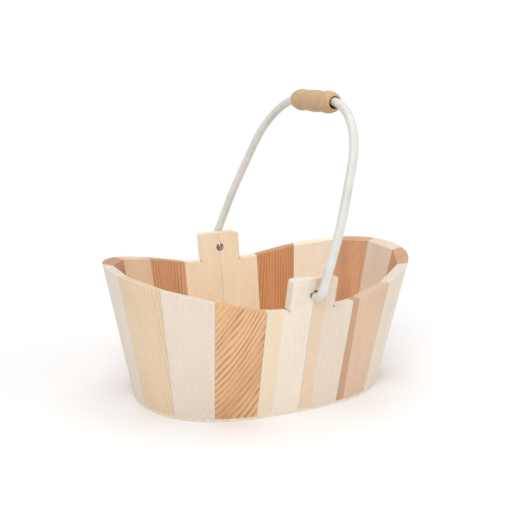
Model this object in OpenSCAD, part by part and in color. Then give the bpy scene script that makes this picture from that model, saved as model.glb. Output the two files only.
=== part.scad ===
// Trug garden basket: an oval tub of glued wooden staves with a wire bail and a turned grip.
// The origin is the middle of the underside. X runs along the oval, Y across it and Z is up.
// The side at -Y is called the front and the end at -X is called the left.

/* [Stave widths at the foot] */
// Width of each half of a lug, at the middle of a long side
lug_stave_w = 41.4; // [36:0.2:50]
// Width of the stave beside a lug
side_stave_w = 38; // [32:0.2:46]
// Width of the stave where the side starts to curve
shoulder_stave_w = 37.2; // [32:0.2:46]
// Width of the stave in the tightest curve
corner_stave_w = 35.4; // [31:0.2:44]
// Width of the stave at each end of the oval
end_stave_w = 37.6; // [32:0.2:46]

/* [Stave turns in plan] */
// Turn of a lug stave, in degrees
lug_turn = 5.3; // [4:0.1:7]
// Turn of a side stave
side_turn = 18.2; // [15:0.1:21]
// Turn of a shoulder stave
shoulder_turn = 24.2; // [21:0.1:27]
// Turn of a corner stave
corner_turn = 29.2; // [26:0.1:32]

/* [Wall] */
// Thickness of the wall at the joints between staves
wall_t = 9.4; // [6:0.2:13]
// Outward lean of the wall, in degrees
flare = 11.3; // [6:0.1:16]
// Height of the rim beside the lugs
rim_low = 104.5; // [85:0.5:130]
// Rise of the rim towards both ends, in degrees
rim_rise = 12.9; // [6:0.1:16]
// Radius of the sweep from the lug out to the rising rim
rim_sweep_r = 134; // [80:1:180]

/* [Base] */
// Thickness of the plate under the staves
base_t = 3; // [2:0.2:8]

/* [Lugs] */
// Width of a lug
lug_w = 44; // [36:0.5:60]
// Height of a lug above the rim beside it
lug_h = 28.6; // [24:0.2:40]
// Radius of the top corners of a lug
lug_corner_r = 3; // [1:0.2:8]
// Radius of the relief where a lug leaves the rim
lug_relief_r = 1.2; // [0.6:0.1:2]
// Height of the hole's centre above the rim beside the lug
hole_up = 13.6; // [10:0.2:17]
// Diameter of the hole for the bail wire
hole_d = 8.6; // [6.6:0.1:10]

/* [Bail] */
// Diameter of the steel wire
wire_d = 4.8; // [3:0.1:5.6]
// Outer diameter of the white sleeve on the wire
sleeve_d = 8; // [6.6:0.1:9]
// Height of the bail's straight top above its pivot
bail_h = 171.8; // [155:0.2:200]
// Radius of the bend just outside each lug
elbow_r = 8; // [6:0.5:12]
// Inward lean of each arm above the elbow, in degrees
arm_lean = 5.3; // [2:0.1:9]
// Height above the pivot at which each arm bows inwards
bow_up = 62; // [50:1:75]
// Radius of that gentle bow
bow_r = 260; // [150:10:320]
// Radius of the bends under the grip
shoulder_r = 75; // [60:1:80]
// Distance of each shoulder corner beyond the grip's end
shoulder_out = 46; // [42:0.5:50]
// Lean of the bail at rest towards +X, in degrees
bail_lean = 19.4; // [0:0.1:30]

/* [Grip] */
// Length of the wooden grip
grip_l = 72; // [64:1:82]
// Largest diameter of the grip
grip_d = 21; // [18:0.2:26]
// Depth of the two turned grooves
groove_depth = 1.4; // [0.6:0.1:1.8]
// Distance between the two grooves
groove_pitch = 33; // [26:0.5:36]
// Radius of the rounded ends
grip_end_r = 4; // [2:0.1:5]
// Diameter of the bore through the grip
grip_bore = 12; // [11:0.1:13]

/* [Clearances] */
// Gap between the wire and the bottom of its hole
wire_gap = 0.3; // [0.1:0.05:0.5]
// Gap all round between the wire and its sleeve
sleeve_gap = 0.15; // [0.05:0.05:0.3]
// Gap between the sleeve's end and the lug
sleeve_end_gap = 0.4; // [0.2:0.1:1]
// Gap between the sleeve and the top of the grip's bore
grip_gap = 0.3; // [0.1:0.05:0.5]
// How far the wire's ends stop short of the lug's inner face
wire_recess = 0.5; // [0:0.1:2]

/* [Hidden] */
$fa = 1;
$fs = 0.5;
// Facets round a stave's cone where the part is only previewed
cone_facets = 360;

// Tones of the mixed woods
cream_wood = "#ecdcc6";
tan_wood = "#dcbb96";
red_wood = "#c88a62";
brown_wood = "#b5794f";

// Sides of the basket: left and right along X, front and back along Y
LEFT = -1;
RIGHT = 1;
FRONT = -1;
BACK = 1;

// Kinds of stave, counted from the lug to the end of the oval
LUG = 0;
SIDE = 1;
SHOULDER = 2;
CORNER = 3;
END = 4;

// Lean of the wall as a rise in radius for each millimetre of height
flare_rate = tan(flare);

// Each stave's outside is one cone, so the oval is a chain of tangent arcs, one for each stave
end_turn = 180 - 2 * (lug_turn + side_turn + shoulder_turn + corner_turn);
turns = [lug_turn, side_turn, shoulder_turn, corner_turn, end_turn];
widths = [lug_stave_w, side_stave_w, shoulder_stave_w, corner_stave_w, end_stave_w];
radii = [for (kind = [LUG:END]) widths[kind] * 180 / (turns[kind] * PI)];

function direction(angle) = [cos(angle), sin(angle)];

// Direction of the joint on the lug's side of a stave, in the quarter where X and Y are positive
function joint_angle(kind) = kind == LUG ? 90 : joint_angle(kind - 1) - turns[kind - 1];

// Centre of a stave's arc, from the first arc's centre
function chain_centre(kind) = kind == LUG
    ? [0, 0]
    : chain_centre(kind - 1) + (radii[kind - 1] - radii[kind]) * direction(joint_angle(kind));

// The end stave's arc is centred on the long axis
centres = [for (kind = [LUG:END]) chain_centre(kind) - [0, chain_centre(END)[1]]];

// Half width and half length of the outer face at a height
function half_width(z) = centres[LUG][1] + radii[LUG] + flare_rate * z;
function half_length(z) = centres[END][0] + radii[END] + flare_rate * z;

// Height of the lug's top and of the hole's centre
lug_top = rim_low + lug_h;
hole_z = rim_low + hole_up;

// The wire lies at the bottom of its hole, and its centre line there is the bail's pivot
pivot_z = hole_z - (hole_d - wire_d) / 2 + wire_gap;
wire_end_y = half_width(pivot_z) - wall_t + wire_recess;

// The sleeve starts square, just outside the lug, and runs straight for a moment before its bend
sleeve_bore = wire_d + 2 * sleeve_gap;
sleeve_start_y = half_width(pivot_z + sleeve_d / 2) + sleeve_end_gap;
elbow_lead = 1;
elbow_y = sleeve_start_y + elbow_lead + elbow_r * tan((90 + arm_lean) / 2);

// Corners of the bail, as places across the basket and up the bail from its pivot
bow_corner = [elbow_y - bow_up * tan(arm_lean), bow_up];
shoulder_corner = [grip_l / 2 + shoulder_out, bail_h];
bail_bends = [elbow_r, bow_r, shoulder_r, shoulder_r, bow_r, elbow_r];

// The grip hangs on the sleeve, so its own axis lies below the sleeve's
grip_hang = (grip_bore - sleeve_d) / 2 - grip_gap;
grip_up = bail_h - grip_hang;

// Each join of the bail's straights and bends sits in a collar this proud and this long
join_proud = 0.02;
join_l = 0.6;
// Straight pieces in each round stretch of the rim
rim_steps = 8;
// Straight pieces in each round stretch of the grip's outline, and in each stave's share of the plate's
grip_steps = 12;
plate_steps = 16;
// Sides of the sleeve's section, and the turn between two of its rings of points
tube_sides = 24;
bend_step = 5;
// How far a cutting shape runs past what it cuts
past = 1;

// Path of the bail from one end to the other, with both ends at a distance from the middle
function bail_path(end_y) = [
    [-end_y, 0],
    [-elbow_y, 0],
    [-bow_corner[0], bow_corner[1]],
    [-shoulder_corner[0], shoulder_corner[1]],
    shoulder_corner,
    bow_corner,
    [elbow_y, 0],
    [end_y, 0]
];

function unit(v) = v / norm(v);

// Half the angle at a path's corner, and how far along both legs its bend starts
function half_angle(path, i) =
    let (a = unit(path[i - 1] - path[i]), b = unit(path[i + 1] - path[i]))
    acos(a * b) / 2;
function bend_reach(path, bends, i) =
    i == 0 || i == len(path) - 1 ? 0 : bends[i - 1] / tan(half_angle(path, i));
function towards(path, i, j, reach) = path[i] + reach * unit(path[j] - path[i]);
function angle_of(v) = atan2(v[1], v[0]);

// Where the bend at a path's corner starts and ends
function bend_start(path, bends, i) = towards(path, i, i - 1, bend_reach(path, bends, i));
function bend_end(path, bends, i) = towards(path, i, i + 1, bend_reach(path, bends, i));

// Section of a rod, or of a tube where it has a bore
module ring(r, bore_r) {
    difference() {
        circle(r);
        if (bore_r > 0)
            circle(bore_r);
    }
}

// A length of the given section from a point along a heading
module length_of(start, heading, l) {
    translate(start)
        rotate([0, 0, angle_of(heading)])
        rotate([90, 0, 90])
        linear_extrude(l)
        children();
}

// A round rod or tube along a path whose corners are bent to the given radii, all clockwise
module tube(path, bends, r, bore_r = 0) {
    last = len(path) - 1;
    for (i = [0:last - 1]) {
        start = bend_end(path, bends, i);
        leg = bend_start(path, bends, i + 1) - start;
        length_of(start, leg, norm(leg))
            ring(r, bore_r);
    }
    for (i = [1:last - 1]) {
        half = half_angle(path, i);
        start = bend_start(path, bends, i);
        end = bend_end(path, bends, i);
        before = unit(path[i] - path[i - 1]);
        after = unit(path[i + 1] - path[i]);
        centre = path[i] + unit(after - before) * bends[i - 1] / sin(half);
        translate(centre)
            rotate([0, 0, angle_of(end - centre)])
            rotate_extrude(angle = 180 - 2 * half)
            translate([bends[i - 1], 0])
            ring(r, bore_r);
        length_of(start - before * join_l / 2, before, join_l)
            ring(r + join_proud, bore_r - join_proud);
        length_of(end - after * join_l / 2, after, join_l)
            ring(r + join_proud, bore_r - join_proud);
    }
}

// Puts what is drawn with X across the basket and Y up the bail into the leaning bail's place
module in_bail() {
    translate([0, 0, pivot_z])
        rotate([0, bail_lean, 0])
        rotate([90, 0, 90])
        children();
}

// Wedge of plan between the two joints of a stave, from the centre of its arc outwards
module stave_wedge(kind) {
    reach = 1.2 * (radii[kind] + flare_rate * lug_top);
    near_joint = reach * direction(joint_angle(kind));
    far_joint = reach * direction(joint_angle(kind) - turns[kind]);
    translate(centres[kind])
        polygon([[0, 0], far_joint, near_joint]);
}

// Everything inside a stave's flat inner face, which leans outwards with the wall
module stave_hollow(kind) {
    half_turn = turns[kind] / 2;
    depth = radii[kind] + flare_rate * lug_top;
    translate(centres[kind])
        rotate([0, 0, joint_angle(kind) - half_turn])
        translate([(radii[kind] - wall_t) * cos(half_turn), 0, 0])
        rotate([0, atan(flare_rate * cos(half_turn)), 0])
        translate([-depth, -depth, -lug_top])
        cube([depth, 2 * depth, 3 * lug_top]);
}

// Side view of what lies below the rim and inside the lug, for the right half
module below_rim() {
    far_x = half_length(lug_top) + past;
    sweep_x = lug_w / 2 + rim_sweep_r * sin(rim_rise);
    sweep_z = rim_low + rim_sweep_r * (1 - cos(rim_rise));
    far_corner = [far_x, sweep_z + (far_x - sweep_x) * tan(rim_rise)];
    sweep = [for (i = [rim_steps:-1:0]) let (a = rim_rise * i / rim_steps)
        [lug_w / 2 + rim_sweep_r * sin(a), rim_low + rim_sweep_r * (1 - cos(a))]];
    lug_corner = [for (i = [0:rim_steps]) let (a = 90 * i / rim_steps)
        [lug_w / 2, lug_top] + lug_corner_r * [cos(a) - 1, sin(a) - 1]];
    difference() {
        polygon(concat([[-past, 0], [far_x, 0], far_corner], sweep, lug_corner, [[-past, lug_top]]));
        translate([lug_w / 2, rim_low])
            circle(lug_relief_r);
    }
}

// One stave, drawn in the quarter where X and Y are positive and mirrored into its place
module stave(kind, x_side, y_side, tone) {
    color(tone)
        mirror([x_side == LEFT ? 1 : 0, 0, 0])
        mirror([0, y_side == FRONT ? 1 : 0, 0])
        difference() {
            intersection() {
                translate([0, 0, base_t])
                    linear_extrude(lug_top)
                    stave_wedge(kind);
                translate(centres[kind])
                    cylinder(h = lug_top + past, r1 = radii[kind],
                        r2 = radii[kind] + flare_rate * (lug_top + past), $fn = cone_facets);
                rotate([90, 0, 0])
                    linear_extrude(4 * half_width(lug_top), center = true)
                    below_rim();
            }
            stave_hollow(kind);
            if (kind == LUG)
                translate([0, 0, hole_z])
                    rotate([-90, 0, 0])
                    cylinder(h = 2 * half_width(lug_top), d = hole_d);
        }
}

// Outline of the staves' feet in the quarter where X and Y are positive, from the side to the end
function foot_quarter() = concat(
    [for (kind = [LUG:END], i = [0:plate_steps - 1])
        let (sweep = kind == END ? end_turn / 2 : turns[kind])
        centres[kind] + radii[kind] * direction(joint_angle(kind) - sweep * i / plate_steps)],
    [[half_length(0), 0]]
);

// Plate that closes the bottom, with the oval of the staves' feet as its outline
module base_plate() {
    foot = foot_quarter();
    last = len(foot) - 1;
    color(cream_wood)
        linear_extrude(base_t)
        polygon(concat(
            foot,
            [for (i = [last - 1:-1:0]) [foot[i][0], -foot[i][1]]],
            [for (i = [1:last]) [-foot[i][0], -foot[i][1]]],
            [for (i = [last - 1:-1:1]) [-foot[i][0], foot[i][1]]]
        ));
}

// Steel wire of the bail, turned in through the lugs' holes
module bail_wire() {
    color("#b9bbbd")
        in_bail()
        tube(bail_path(wire_end_y), bail_bends, wire_d / 2);
}

// Places and headings along a path, one for each ring of points of its tube
function stations(path, bends) =
    let (last = len(path) - 1)
    concat(
        [[path[0], unit(path[1] - path[0])]],
        [for (i = [1:last - 1])
            let (
                turn = 180 - 2 * half_angle(path, i),
                before = unit(path[i] - path[i - 1]),
                after = unit(path[i + 1] - path[i]),
                centre = path[i] + unit(after - before) * bends[i - 1] / sin(half_angle(path, i)),
                spoke = bend_start(path, bends, i) - centre,
                steps = ceil(turn / bend_step)
            )
            for (k = [0:steps]) [centre + turned(spoke, -turn * k / steps), turned(before, -turn * k / steps)]],
        [[path[last], unit(path[last] - path[last - 1])]]
    );
function turned(v, a) = [v[0] * cos(a) - v[1] * sin(a), v[0] * sin(a) + v[1] * cos(a)];

// Ring of points round a station
function ring_points(station, r) =
    let (place = station[0], heading = station[1])
    [for (k = [0:tube_sides - 1]) let (a = 360 * k / tube_sides)
        [place[0] - heading[1] * r * cos(a), place[1] + heading[0] * r * cos(a), r * sin(a)]];

// Two triangles for the four corners of a patch
function patch(a, b, c, d) = [[a, b, c], [a, c, d]];

// White sleeve on the wire, from lug to lug, as one skin outside and in its bore
module bail_sleeve() {
    rings = stations(bail_path(sleeve_start_y), bail_bends);
    last = len(rings) - 1;
    outside = [for (s = [0:last], k = [0:tube_sides - 1]) [2 * s * tube_sides + k,
        2 * s * tube_sides + (k + 1) % tube_sides]];
    color("#e9e8e3")
        in_bail()
        polyhedron(
            points = [for (s = rings) each concat(ring_points(s, sleeve_d / 2),
                ring_points(s, sleeve_bore / 2))],
            faces = concat(
                [for (s = [0:last - 1], k = [0:tube_sides - 1])
                    let (p = outside[s * tube_sides + k], q = outside[(s + 1) * tube_sides + k])
                    each patch(p[0], q[0], q[1], p[1])],
                [for (s = [0:last - 1], k = [0:tube_sides - 1])
                    let (p = outside[s * tube_sides + k], q = outside[(s + 1) * tube_sides + k], n = tube_sides)
                    each patch(p[0] + n, p[1] + n, q[1] + n, q[0] + n)],
                [for (k = [0:tube_sides - 1])
                    let (p = outside[k], n = tube_sides)
                    each patch(p[0], p[1], p[1] + n, p[0] + n)],
                [for (k = [0:tube_sides - 1])
                    let (p = outside[last * tube_sides + k], n = tube_sides)
                    each patch(p[0] + n, p[1] + n, p[1], p[0])]
            )
        );
}

// Radius of an arc from its half width and its height
function arc_radius(half, rise) = (half * half + rise * rise) / (2 * rise);

// Points along an arc, between two directions seen from its centre
function arc(centre, r, from, to) =
    [for (i = [0:grip_steps]) centre + r * direction(from + (to - from) * i / grip_steps)];

// Half the grip's outline from its middle to the bore's mouth, with the radius along X
function grip_half_outline() =
    let (
        groove_y = groove_pitch / 2,
        end_y = grip_l / 2 - grip_end_r,
        bulge_y = (groove_y + end_y) / 2,
        middle_r = arc_radius(groove_y, groove_depth),
        end_r = arc_radius(bulge_y - groove_y, groove_depth),
        middle_reach = asin(groove_y / middle_r),
        end_reach = asin((bulge_y - groove_y) / end_r),
        cheek = [grip_d / 2 - groove_depth - grip_end_r, end_y],
        mouth = acos(max(0, (grip_bore / 2 - cheek[0]) / grip_end_r))
    )
    concat(
        arc([grip_d / 2 - middle_r, 0], middle_r, 0, middle_reach),
        arc([grip_d / 2 - end_r, bulge_y], end_r, -end_reach, end_reach),
        arc(cheek, grip_end_r, 0, mouth),
        [[grip_bore / 2, cheek[1] + grip_end_r * sin(mouth)]]
    );

// Turned grip with three bulges, two grooves and round ends, loose on the sleeve
module hand_grip() {
    half = grip_half_outline();
    color("#cda57b")
        in_bail()
        translate([0, grip_up, 0])
        rotate([0, 90, 0])
        rotate_extrude()
        polygon(concat(half, [for (i = [len(half) - 1:-1:1]) [half[i][0], -half[i][1]]]));
}

base_plate();
stave(LUG, LEFT, FRONT, cream_wood);  // lug_stave_front_left
stave(LUG, RIGHT, FRONT, cream_wood);  // lug_stave_front_right
stave(LUG, LEFT, BACK, tan_wood);  // lug_stave_back_left
stave(LUG, RIGHT, BACK, tan_wood);  // lug_stave_back_right
stave(SIDE, LEFT, FRONT, brown_wood);  // side_stave_front_left
stave(SIDE, RIGHT, FRONT, tan_wood);  // side_stave_front_right
stave(SIDE, LEFT, BACK, red_wood);  // side_stave_back_left
stave(SIDE, RIGHT, BACK, brown_wood);  // side_stave_back_right
stave(SHOULDER, LEFT, FRONT, cream_wood);  // shoulder_stave_front_left
stave(SHOULDER, RIGHT, FRONT, cream_wood);  // shoulder_stave_front_right
stave(SHOULDER, LEFT, BACK, tan_wood);  // shoulder_stave_back_left
stave(SHOULDER, RIGHT, BACK, cream_wood);  // shoulder_stave_back_right
stave(CORNER, LEFT, FRONT, tan_wood);  // corner_stave_front_left
stave(CORNER, RIGHT, FRONT, red_wood);  // corner_stave_front_right
stave(CORNER, LEFT, BACK, red_wood);  // corner_stave_back_left
stave(CORNER, RIGHT, BACK, red_wood);  // corner_stave_back_right
stave(END, LEFT, BACK, cream_wood);  // end_stave_left
stave(END, RIGHT, BACK, tan_wood);  // end_stave_right
bail_wire();
bail_sleeve();
hand_grip();
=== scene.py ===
import math

import bpy
from mathutils import Matrix, Vector


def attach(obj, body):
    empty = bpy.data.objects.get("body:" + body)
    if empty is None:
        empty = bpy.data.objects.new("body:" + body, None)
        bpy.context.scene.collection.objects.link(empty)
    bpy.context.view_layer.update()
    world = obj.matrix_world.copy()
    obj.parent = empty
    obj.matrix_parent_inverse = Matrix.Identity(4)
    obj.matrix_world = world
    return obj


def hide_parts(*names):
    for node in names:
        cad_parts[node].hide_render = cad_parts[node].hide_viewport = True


# The photograph's camera: angles in degrees, places in metres, lens and sensor in millimetres
CAMERA_AZIMUTH = -26.34
CAMERA_ELEVATION = 13.31
CAMERA_ROLL = 0.83
CAMERA_DISTANCE = 0.8082
CAMERA_AIM_HEIGHT = 0.060
CAMERA_OFFSET = (-0.00299, 0.06733)
CAMERA_LENS = 57.35
CAMERA_SENSOR = 36.0
# How far the camera sees, in metres
CAMERA_SIGHT = 50.0

# Feet of the staves from the lug to the end of the oval: widths in metres, turns in degrees
KINDS = ("lug", "side", "shoulder", "corner", "end")
STAVE_WIDTHS = (0.0414, 0.038, 0.0372, 0.0354, 0.0376)
STAVE_TURNS = (5.3, 18.2, 24.2, 29.2, 26.2)

# The bail at rest: angles, and places in metres across the basket and up the bail from its pivot
PIVOT_HEIGHT = 0.1165
BAIL_LEAN = math.radians(19.4)
ARM_LEAN = math.radians(5.3)
SLEEVE_START = 0.106938
ELBOW_LEAD = 0.001
BOW_UP = 0.062
SHOULDER_ACROSS = 0.082
SHOULDER_UP = 0.1718

# Radii of the bail's bends, in metres
ELBOW_R = 0.008
BOW_R = 0.26
SHOULDER_R = 0.075

# The sleeve's radii and the slope at its ends in metres, and how finely its mesh is cut
SLEEVE_R = 0.004
SLEEVE_BORE_R = 0.00255
SLEEVE_LIP = 0.0005
SLEEVE_SIDES = 40
BEND_STEP = math.radians(3)

# Scales that stretch the grain along one axis, and by how much more the fibres are stretched
GRAIN_ALONG_X = (0.07, 1.0, 1.0)
GRAIN_ALONG_Y = (1.0, 0.07, 1.0)
GRAIN_ALONG_Z = (1.0, 1.0, 0.07)
FIBRE_STRETCH = 0.35

# How far the growth layers lean from square to a board's face, in degrees
BOARD_CUT = 25.0
GRIP_CUT = -90.0

# Step in the texture from one board's seed to the next: its place, its rings' height and their phase
SEED_MOVE = (0.37, 0.61, 0.23)
SEED_RISE = 0.011
SEED_PHASE = 1.7
BASE_SEED = 31
GRIP_SEED = 37

# Noises in the wood: scale, detail and roughness
WANDER_NOISE = (16.0, 2.0, 0.5)
FAINT_NOISE = (70.0, 2.0, 0.5)
BLOTCH_NOISE = (34.0, 3.0, 0.5)
FIBRE_NOISE = (900.0, 3.0, 0.65)
PORE_NOISE = (2100.0, 1.0, 0.5)

# Growth rings: how far they wander in metres, and the wave texture's distortion and detail
WANDER_DEPTH = 0.016
RING_DISTORTION = 2.6
RING_DETAIL = 2.0
RING_DETAIL_SCALE = 0.6
# Radians that the wave texture turns through in a metre at scale 1
WAVE_RATE = 20

# What the patterns become: from low, from high, to low and to high
FAINT_SPREAD = (0.35, 0.65, 0.25, 1.0)
LATE_SPREAD = (0.35, 0.95, 0.0, 1.0)
PORE_SPREAD = (0.64, 0.74, 0.0, 1.0)
FIBRE_LIGHT = (0.3, 0.7, 0.95, 1.03)
FIBRE_ROUGHNESS = (0.25, 0.75, 0.5, 0.38)
# The same for the distance from a joint, in metres
JOINT_LIGHT = (0.00005, 0.0005, 0.72, 1.0)

# Blotches: from low and from high, and their share of the wood's contrast
BLOTCH_RANGE = (0.35, 0.75)
BLOTCH_SHARE = 0.55
# How much a pore darkens the wood
PORE_SHADE = 0.12

# Relief of the wood: the rings' share of its height, and the bump's strength and distance in metres
RING_RELIEF = -0.1
WOOD_BUMP = (0.12, 0.0002)

# Edge of a glued strip: how much it follows the rings, and half its width in metres
STRIP_RAG = 0.06
STRIP_EDGE = 0.0004

# Sleeve: tones, noises as scale and detail, what they become, and the bump
SLEEVE_TONES = ((214, 213, 208), (203, 201, 194))
CLOUD_NOISE = (60.0, 3.0)
CLOUD_SPREAD = (0.35, 0.7)
SCUFF_NOISE = (1500.0, 2.0)
SCUFF_ROUGHNESS = (0.3, 0.7, 0.28, 0.4)
SLEEVE_BUMP = (0.02, 0.0001)

# Wire: the same, with the scale that stretches its drawn lines across the basket
WIRE_TONES = ((206, 206, 208), (150, 146, 140))
LINE_SCALE = (1, 0.05, 1)
LINE_NOISE = (2400.0, 2.0)
LINE_ROUGHNESS = (0.3, 0.7, 0.28, 0.45)
STAIN_NOISE = (220.0, 3.0)
STAIN_SPREAD = (0.45, 0.75)
WIRE_BUMP = (0.15, 0.0001)

# Floor, in metres: half its width, its drop below the tub, and the distances between which it turns white
FLOOR_REACH = 6.0
FLOOR_DROP = 0.0002
FLOOR_FADE = (0.25, 0.6)
# The floor's tone in screen values, and its roughness
FLOOR_TONE = (243, 243, 243)
FLOOR_ROUGHNESS = 0.9

# Strength of the even light from all round
WORLD_STRENGTH = 0.59

# Lamps: place and aim in metres, width in metres and power in watts
LAMPS = {
    "key": ((-0.9, -1.1, 1.5), (0, 0, 0.08), 1.2, 18.5),
    "fill": ((1.4, -0.8, 0.9), (0, 0, 0.08), 1.2, 7),
    "top": ((0.1, 0.4, 1.8), (0, 0, 0.05), 1.4, 10),
}

# Woods of the wall, with tones in screen values: pale tone, dark tone, contrast, ring spacing in
# metres, lean of the grain in degrees, and whether the growth shows as rings or as bands
STAVES = {
    "end_stave_left": ((224, 211, 196), (208, 190, 172), 0.4, 0.0023, 0, False),
    "corner_stave_front_left": ((226, 202, 170), (204, 172, 136), 0.45, 0.0028, 3, False),
    "shoulder_stave_front_left": ((227, 212, 197), (212, 192, 172), 0.35, 0.0021, 0, False),
    "side_stave_front_left": ((233, 184, 134), (142, 94, 66), 0.75, 0.0024, 17, True),
    "lug_stave_front_left": ((236, 224, 207), (222, 203, 178), 0.35, 0.0024, 0, False),
    "lug_stave_front_right": ((228, 212, 194), (212, 192, 168), 0.4, 0.0022, 1, False),
    "side_stave_front_right": ((221, 189, 160), (198, 158, 126), 0.5, 0.0026, 2, False),
    "shoulder_stave_front_right": ((226, 212, 194), (208, 188, 166), 0.4, 0.0023, 0, False),
    "corner_stave_front_right": ((212, 166, 128), (176, 124, 92), 0.6, 0.0027, 4, False),
    "end_stave_right": ((230, 214, 197), (208, 184, 158), 0.4, 0.0023, 0, False),
    "corner_stave_back_right": ((224, 174, 132), (172, 116, 82), 0.75, 0.0030, 3, False),
    "shoulder_stave_back_right": ((250, 236, 213), (230, 206, 174), 0.4, 0.0023, 0, False),
    "side_stave_back_right": ((214, 153, 104), (164, 98, 60), 0.65, 0.0028, 2, False),
    "lug_stave_back_right": ((246, 226, 197), (224, 194, 158), 0.4, 0.0025, 0, False),
    "lug_stave_back_left": ((244, 223, 194), (222, 192, 156), 0.4, 0.0025, 1, False),
    "side_stave_back_left": ((216, 164, 118), (164, 108, 74), 0.75, 0.0030, 3, False),
    "shoulder_stave_back_left": ((228, 198, 168), (200, 164, 130), 0.5, 0.0025, 0, False),
    "corner_stave_back_left": ((198, 143, 107), (158, 104, 72), 0.65, 0.0027, 2, False),
}

# Strips glued into some staves: low and high X in metres, tone and strength
STRIPS = {
    "lug_stave_front_left": ((-0.044, -0.027, (231, 210, 178), 0.7),),
    "lug_stave_front_right": ((-0.001, 0.0125, (226, 200, 170), 0.8),),
    "side_stave_front_right": ((0.030, 0.050, (190, 142, 108), 0.75),),
}

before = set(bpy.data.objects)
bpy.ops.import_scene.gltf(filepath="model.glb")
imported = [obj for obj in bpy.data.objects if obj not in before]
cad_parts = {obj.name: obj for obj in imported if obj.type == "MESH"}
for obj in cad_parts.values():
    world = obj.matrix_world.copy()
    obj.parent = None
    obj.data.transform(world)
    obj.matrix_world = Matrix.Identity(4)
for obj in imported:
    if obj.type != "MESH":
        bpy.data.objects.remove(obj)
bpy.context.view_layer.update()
scene = bpy.context.scene
scene.view_settings.view_transform = "Standard"


def srgb(red, green, blue):
    """A colour given in screen values, as the linear colour that a shader wants."""
    def linear(value):
        value /= 255
        return value / 12.92 if value <= 0.04045 else ((value + 0.055) / 1.055) ** 2.4
    return (linear(red), linear(green), linear(blue), 1)


class Shader:
    """A material with a principled shader, and short calls that add nodes to it."""

    # Sockets of the mix node that carry colours
    MIX_FIRST = 6
    MIX_SECOND = 7
    MIX_RESULT = 2

    def __init__(self, name):
        self.material = bpy.data.materials.new(name)
        self.material.use_nodes = True
        self.tree = self.material.node_tree
        self.tree.nodes.clear()
        self.out = self.new("ShaderNodeOutputMaterial")
        self.bsdf = self.new("ShaderNodeBsdfPrincipled")
        self.tree.links.new(self.bsdf.outputs[0], self.out.inputs[0])
        self.place = self.new("ShaderNodeTexCoord").outputs["Object"]

    def new(self, kind):
        return self.tree.nodes.new(kind)

    def fill(self, socket, value):
        if isinstance(value, bpy.types.NodeSocket):
            self.tree.links.new(value, socket)
        else:
            socket.default_value = value

    def math(self, operation, first, second=0.0):
        node = self.new("ShaderNodeMath")
        node.operation = operation
        self.fill(node.inputs[0], first)
        self.fill(node.inputs[1], second)
        return node.outputs[0]

    def vector_math(self, operation, first, second=(0, 0, 0)):
        node = self.new("ShaderNodeVectorMath")
        node.operation = operation
        self.fill(node.inputs[0], first)
        self.fill(node.inputs[1], second)
        return node.outputs["Vector" if operation == "ADD" else "Value"]

    def mapped(self, vector, move=(0, 0, 0), turn=(0, 0, 0), scale=(1, 1, 1)):
        node = self.new("ShaderNodeMapping")
        self.fill(node.inputs["Vector"], vector)
        node.inputs["Location"].default_value = move
        node.inputs["Rotation"].default_value = [math.radians(angle) for angle in turn]
        node.inputs["Scale"].default_value = scale
        return node.outputs[0]

    def noise(self, vector, scale, detail, roughness=0.5):
        node = self.new("ShaderNodeTexNoise")
        self.fill(node.inputs["Vector"], vector)
        node.inputs["Scale"].default_value = scale
        node.inputs["Detail"].default_value = detail
        node.inputs["Roughness"].default_value = roughness
        return node.outputs[0]

    def growth(self, vector, spacing, rings, phase):
        """Growth rings round Z, or bands across X, the spacing apart."""
        node = self.new("ShaderNodeTexWave")
        node.wave_type = "RINGS" if rings else "BANDS"
        node.rings_direction = "Z"
        node.wave_profile = "SAW"
        self.fill(node.inputs["Vector"], vector)
        node.inputs["Scale"].default_value = 2 * math.pi / (WAVE_RATE * spacing)
        node.inputs["Distortion"].default_value = RING_DISTORTION
        node.inputs["Detail"].default_value = RING_DETAIL
        node.inputs["Detail Scale"].default_value = RING_DETAIL_SCALE
        node.inputs["Phase Offset"].default_value = phase
        return node.outputs["Fac"]

    def spread(self, value, low, high, to_low=0.0, to_high=1.0):
        node = self.new("ShaderNodeMapRange")
        node.interpolation_type = "SMOOTHSTEP"
        for slot, part in enumerate((value, low, high, to_low, to_high)):
            self.fill(node.inputs[slot], part)
        return node.outputs[0]

    def grey(self, value):
        node = self.new("ShaderNodeCombineColor")
        for socket in node.inputs[:3]:
            self.fill(socket, value)
        return node.outputs[0]

    def mix(self, factor, first, second, blend="MIX"):
        node = self.new("ShaderNodeMix")
        node.data_type = "RGBA"
        node.blend_type = blend
        self.fill(node.inputs[0], factor)
        self.fill(node.inputs[self.MIX_FIRST], first)
        self.fill(node.inputs[self.MIX_SECOND], second)
        return node.outputs[self.MIX_RESULT]

    def bump(self, height, strength, distance):
        node = self.new("ShaderNodeBump")
        node.inputs["Strength"].default_value = strength
        node.inputs["Distance"].default_value = distance
        self.fill(node.inputs["Height"], height)
        self.tree.links.new(node.outputs[0], self.bsdf.inputs["Normal"])

    def finish(self, colour, roughness):
        self.fill(self.bsdf.inputs["Base Color"], colour)
        self.fill(self.bsdf.inputs["Roughness"], roughness)
        return self.material


def joint_angles():
    """Plan angle of each kind of stave's joint on the lug's side, and the last joint's."""
    angles = [90.0]
    for turn in STAVE_TURNS:
        angles.append(angles[-1] - turn)
    return angles


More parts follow.
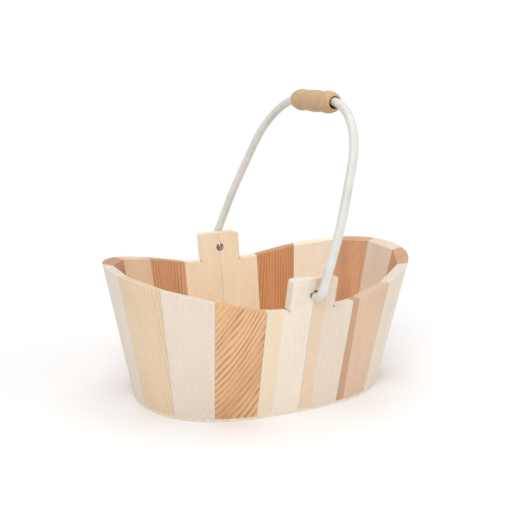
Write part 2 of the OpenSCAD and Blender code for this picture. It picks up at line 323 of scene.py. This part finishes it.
def arc_centres():
    """Centre of each kind of stave's arc, in the quarter where X and Y are positive."""
    angles = joint_angles()
    radii = [width / math.radians(turn) for width, turn in zip(STAVE_WIDTHS, STAVE_TURNS)]
    centres = [Vector((0.0, 0.0))]
    for kind in range(1, len(KINDS)):
        heading = math.radians(angles[kind])
        step = radii[kind - 1] - radii[kind]
        centres.append(centres[-1] + step * Vector((math.cos(heading), math.sin(heading))))
    return [centre - Vector((0.0, centres[-1].y)) for centre in centres]


def stave_plan(node):
    """Outward plan angle of a stave, and the normal and offset of the planes of its two joints."""
    kind = KINDS.index(node.split("_")[0])
    x_side = -1 if node.endswith("left") else 1
    y_side = -1 if "front" in node else 1
    angles = joint_angles()
    centre = arc_centres()[kind]
    centre = Vector((centre.x * x_side, centre.y * y_side))
    planes = []
    for angle in (angles[kind], angles[kind] - STAVE_TURNS[kind]):
        heading = math.radians(angle)
        normal = Vector((-math.sin(heading) * x_side, math.cos(heading) * y_side))
        planes.append((normal, normal.dot(centre)))
    middle = math.radians(angles[kind] - STAVE_TURNS[kind] / 2)
    outward = math.degrees(math.atan2(math.sin(middle) * y_side, math.cos(middle) * x_side))
    return outward, planes


def glued_strips(shader, colour, strips, drift):
    """The colour with strips of other wood over it, each between two places along X."""
    for low, high, tone, amount in strips:
        across = shader.vector_math("DOT_PRODUCT", shader.place, (1, 0, 0))
        ragged = shader.math("ADD", across, shader.math("MULTIPLY", drift, STRIP_RAG))
        after_low = shader.spread(ragged, low - STRIP_EDGE, low + STRIP_EDGE)
        before_high = shader.spread(ragged, high - STRIP_EDGE, high + STRIP_EDGE, 1.0, 0.0)
        inside = shader.math("MULTIPLY", after_low, before_high)
        colour = shader.mix(shader.math("MULTIPLY", inside, amount), colour, srgb(*tone))
    return colour


def joint_lines(shader, light, joints):
    """The light with a thin dark line along each joint's plane."""
    for normal, offset in joints:
        place = shader.vector_math("DOT_PRODUCT", shader.place, (normal.x, normal.y, 0))
        away = shader.math("ABSOLUTE", shader.math("SUBTRACT", place, offset))
        light = shader.math("MULTIPLY", light, shader.spread(away, *JOINT_LIGHT))
    return light


def wood(name, pale, dark, contrast, spacing, seed, face=0.0, tilt=0.0, rings=False,
         strips=(), joints=(), along=GRAIN_ALONG_Z, cut=BOARD_CUT):
    """Sanded wood with growth layers, blotches, fibres and pores; face is its outward plan angle."""
    shader = Shader(name)
    move = tuple(step * seed for step in SEED_MOVE)
    fine = tuple(FIBRE_STRETCH * size if size < 1 else size for size in along)
    faced = shader.mapped(shader.place, turn=(0, 0, -face))
    board = shader.mapped(faced, turn=(tilt, 0, 0))
    grain = shader.mapped(board, move=(0, 0, SEED_RISE * seed), turn=(0, 0, 90 + cut), scale=along)
    moved = shader.mapped(grain, move=move)
    fibre_place = shader.mapped(board, move=move, scale=fine)

    wander = shader.math("SUBTRACT", shader.noise(moved, *WANDER_NOISE), 0.5)
    drift = shader.math("MULTIPLY", wander, WANDER_DEPTH)
    growth = shader.growth(shader.vector_math("ADD", grain, drift), spacing, rings, SEED_PHASE * seed)
    faint = shader.spread(shader.noise(moved, *FAINT_NOISE), *FAINT_SPREAD)
    late = shader.math("MULTIPLY", shader.spread(growth, *LATE_SPREAD), faint)
    fibre = shader.noise(fibre_place, *FIBRE_NOISE)
    pore = shader.spread(shader.noise(fibre_place, *PORE_NOISE), *PORE_SPREAD)
    blotch = shader.spread(shader.noise(moved, *BLOTCH_NOISE), *BLOTCH_RANGE, 0.0, BLOTCH_SHARE * contrast)

    strength = shader.math("ADD", shader.math("MULTIPLY", late, contrast), blotch)
    colour = shader.mix(strength, srgb(*pale), srgb(*dark))
    colour = glued_strips(shader, colour, strips, drift)
    shade = shader.math("MULTIPLY", pore, PORE_SHADE)
    light = shader.math("SUBTRACT", shader.spread(fibre, *FIBRE_LIGHT), shade)
    light = joint_lines(shader, light, joints)
    colour = shader.mix(1.0, colour, shader.grey(light), "MULTIPLY")

    height = shader.math("ADD", fibre, shader.math("MULTIPLY", growth, RING_RELIEF))
    shader.bump(height, *WOOD_BUMP)
    return shader.finish(colour, shader.spread(fibre, *FIBRE_ROUGHNESS))


def sleeve_material():
    """White plastic with faint clouding, as a sleeve that has been handled."""
    shader = Shader("white_sleeve")
    clean, soiled = SLEEVE_TONES
    cloud = shader.noise(shader.place, *CLOUD_NOISE)
    scuff = shader.noise(shader.place, *SCUFF_NOISE)
    colour = shader.mix(shader.spread(cloud, *CLOUD_SPREAD), srgb(*clean), srgb(*soiled))
    shader.bump(scuff, *SLEEVE_BUMP)
    return shader.finish(colour, shader.spread(scuff, *SCUFF_ROUGHNESS))


def wire_material():
    """Drawn steel, with fine lines and a little tarnish."""
    shader = Shader("steel_wire")
    bright, tarnished = WIRE_TONES
    lines = shader.noise(shader.mapped(shader.place, scale=LINE_SCALE), *LINE_NOISE)
    stain = shader.noise(shader.place, *STAIN_NOISE)
    colour = shader.mix(shader.spread(stain, *STAIN_SPREAD), srgb(*bright), srgb(*tarnished))
    shader.bsdf.inputs["Metallic"].default_value = 1.0
    shader.bump(lines, *WIRE_BUMP)
    return shader.finish(colour, shader.spread(lines, *LINE_ROUGHNESS))


def dress(node, material):
    """Gives a CAD node's own object the material, all over."""
    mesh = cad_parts[node].data
    mesh.materials.clear()
    mesh.materials.append(material)


def dress_nodes():
    """Gives every CAD node that shows its material."""
    for seed, (node, look) in enumerate(STAVES.items(), start=1):
        pale, dark, contrast, spacing, tilt, rings = look
        face, joints = stave_plan(node)
        dress(node, wood("wood_" + node, pale, dark, contrast, spacing, seed, face=face,
                         tilt=tilt, rings=rings, strips=STRIPS.get(node, ()), joints=joints))
    dress("base_plate", wood("wood_base", (235, 222, 205), (216, 194, 166), 0.5, 0.0040, BASE_SEED,
                             along=GRAIN_ALONG_X))
    dress("hand_grip", wood("wood_grip", (199, 166, 124), (168, 126, 86), 0.4, 0.0014, GRIP_SEED,
                            along=GRAIN_ALONG_Y, cut=GRIP_CUT))
    dress("bail_wire", wire_material())


def sleeve_path():
    """Corners of the sleeve's path from lug to lug, across the basket and up the bail."""
    elbow = SLEEVE_START + ELBOW_LEAD + ELBOW_R * math.tan((math.pi / 2 + ARM_LEAN) / 2)
    bow = elbow - BOW_UP * math.tan(ARM_LEAN)
    half = [(SLEEVE_START, 0), (elbow, 0), (bow, BOW_UP), (SHOULDER_ACROSS, SHOULDER_UP)]
    return [(-across, up) for across, up in half] + half[::-1]


def bent_path(corners, bends):
    """Places and headings along a path in the bail's plane, with its corners bent clockwise."""
    corners = [Vector(corner) for corner in corners]
    rings = [(corners[0], (corners[1] - corners[0]).normalized())]
    for before, corner, after, radius in zip(corners, corners[1:], corners[2:], bends):
        into = (corner - before).normalized()
        out = (after - corner).normalized()
        turn = into.angle(out)
        start = corner - into * radius * math.tan(turn / 2)
        centre = start + Vector((into.y, -into.x)) * radius
        count = math.ceil(turn / BEND_STEP)
        for number in range(count + 1):
            spin = Matrix.Rotation(-turn * number / count, 2)
            rings.append((centre + spin @ (start - centre), spin @ into))
    rings.append((corners[-1], (corners[-1] - corners[-2]).normalized()))
    return rings


def sleeve_shells(rings):
    """Rings of the sleeve's skin with their radii: its outside from end to end, then its bore back."""
    first, last = rings[0], rings[-1]
    past_first = (first[0] + first[1] * SLEEVE_LIP, first[1])
    before_last = (last[0] - last[1] * SLEEVE_LIP, last[1])
    return (
        [(first, SLEEVE_BORE_R), (first, SLEEVE_R - SLEEVE_LIP), (past_first, SLEEVE_R)]
        + [(ring, SLEEVE_R) for ring in rings[1:-1]]
        + [(before_last, SLEEVE_R), (last, SLEEVE_R - SLEEVE_LIP), (last, SLEEVE_BORE_R)]
        + [(ring, SLEEVE_BORE_R) for ring in reversed(rings[1:-1])]
    )


def sleeve_points(shells):
    """Points round each ring of the sleeve's skin, in the leaning bail's place."""
    upward = Vector((math.sin(BAIL_LEAN), 0, math.cos(BAIL_LEAN)))
    sideways = Vector((math.cos(BAIL_LEAN), 0, -math.sin(BAIL_LEAN)))
    points = []
    for (place, heading), radius in shells:
        middle = Vector((0, place.x, PIVOT_HEIGHT)) + upward * place.y
        left = Vector((0, -heading.y, 0)) + upward * heading.x
        for side in range(SLEEVE_SIDES):
            angle = 2 * math.pi * side / SLEEVE_SIDES
            spoke = left * math.cos(angle) + sideways * math.sin(angle)
            points.append(tuple(middle + spoke * radius))
    return points


def sleeve():
    """Smooth white sleeve with its bore, in the place of the CAD sleeve."""
    rings = bent_path(sleeve_path(), (ELBOW_R, BOW_R, SHOULDER_R, SHOULDER_R, BOW_R, ELBOW_R))
    shells = sleeve_shells(rings)
    faces = []
    for ring in range(len(shells)):
        here = ring * SLEEVE_SIDES
        there = (ring + 1) % len(shells) * SLEEVE_SIDES
        for side in range(SLEEVE_SIDES):
            after = (side + 1) % SLEEVE_SIDES
            faces.append((here + side, here + after, there + after, there + side))
    mesh = bpy.data.meshes.new("white_sleeve")
    mesh.from_pydata(sleeve_points(shells), [], faces)
    # The front end's face and the bore's first ring of faces at the back end are shaded flat
    flat = (0, len(shells) - len(rings) + 1)
    for face in mesh.polygons:
        face.use_smooth = face.index // SLEEVE_SIDES not in flat
    mesh.materials.append(sleeve_material())
    piece = bpy.data.objects.new("white_sleeve", mesh)
    scene.collection.objects.link(piece)
    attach(piece, "bail")
    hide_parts("bail_sleeve")


def floor():
    """Pale floor that keeps the shadow near the tub and turns to white light further out."""
    reach = FLOOR_REACH
    mesh = bpy.data.meshes.new("floor")
    corners = [(-reach, -reach, 0), (reach, -reach, 0), (reach, reach, 0), (-reach, reach, 0)]
    mesh.from_pydata(corners, [], [(0, 1, 2, 3)])
    piece = bpy.data.objects.new("floor", mesh)
    piece.location.z = -FLOOR_DROP
    scene.collection.objects.link(piece)
    shader = Shader("floor")
    shader.bsdf.inputs["Base Color"].default_value = srgb(*FLOOR_TONE)
    shader.bsdf.inputs["Roughness"].default_value = FLOOR_ROUGHNESS
    away = shader.vector_math("LENGTH", shader.place)
    glow = shader.new("ShaderNodeEmission")
    blend = shader.new("ShaderNodeMixShader")
    shader.fill(blend.inputs[0], shader.spread(away, *FLOOR_FADE))
    shader.fill(blend.inputs[1], shader.bsdf.outputs[0])
    shader.fill(blend.inputs[2], glow.outputs[0])
    shader.tree.links.new(blend.outputs[0], shader.out.inputs[0])
    mesh.materials.append(shader.material)


def background():
    """White where the camera sees it, and a soft even light for everything else."""
    world = bpy.data.worlds.new("studio")
    scene.world = world
    world.use_nodes = True
    nodes = world.node_tree.nodes
    link = world.node_tree.links.new
    nodes.clear()
    out = nodes.new("ShaderNodeOutputWorld")
    seen = nodes.new("ShaderNodeBackground")
    lit = nodes.new("ShaderNodeBackground")
    lit.inputs["Strength"].default_value = WORLD_STRENGTH
    path = nodes.new("ShaderNodeLightPath")
    mix = nodes.new("ShaderNodeMixShader")
    for background_node in (seen, lit):
        background_node.inputs["Color"].default_value = (1, 1, 1, 1)
    link(path.outputs["Is Camera Ray"], mix.inputs[0])
    link(lit.outputs[0], mix.inputs[1])
    link(seen.outputs[0], mix.inputs[2])
    link(mix.outputs[0], out.inputs[0])


def lamp(name, place, aim, width, power):
    """A soft square light at a place, turned towards a point."""
    light = bpy.data.lights.new(name, "AREA")
    light.size = width
    light.energy = power
    piece = bpy.data.objects.new(name, light)
    piece.location = place
    heading = Vector(aim) - Vector(place)
    piece.rotation_euler = heading.to_track_quat("-Z", "Y").to_euler()
    scene.collection.objects.link(piece)


def camera():
    """The photograph's camera, from its azimuth, elevation, roll, distance and offset."""
    azimuth = math.radians(CAMERA_AZIMUTH)
    elevation = math.radians(CAMERA_ELEVATION)
    roll = math.radians(CAMERA_ROLL)
    back = Vector((math.sin(azimuth) * math.cos(elevation),
                   -math.cos(azimuth) * math.cos(elevation), math.sin(elevation)))
    level = (-back).cross(Vector((0, 0, 1))).normalized()
    upright = level.cross(-back)
    right = level * math.cos(roll) + upright * math.sin(roll)
    up = upright * math.cos(roll) - level * math.sin(roll)
    place = (Vector((0, 0, CAMERA_AIM_HEIGHT)) + back * CAMERA_DISTANCE
             + right * CAMERA_OFFSET[0] + up * CAMERA_OFFSET[1])
    data = bpy.data.cameras.new("camera")
    data.lens = CAMERA_LENS
    data.sensor_width = CAMERA_SENSOR
    data.clip_end = CAMERA_SIGHT
    piece = bpy.data.objects.new("camera", data)
    axes = Matrix((right, up, back)).transposed().to_4x4()
    piece.matrix_world = Matrix.Translation(place) @ axes
    scene.collection.objects.link(piece)
    scene.camera = piece


dress_nodes()
sleeve()
floor()
background()
for lamp_name, settings in LAMPS.items():
    lamp(lamp_name, *settings)
camera()
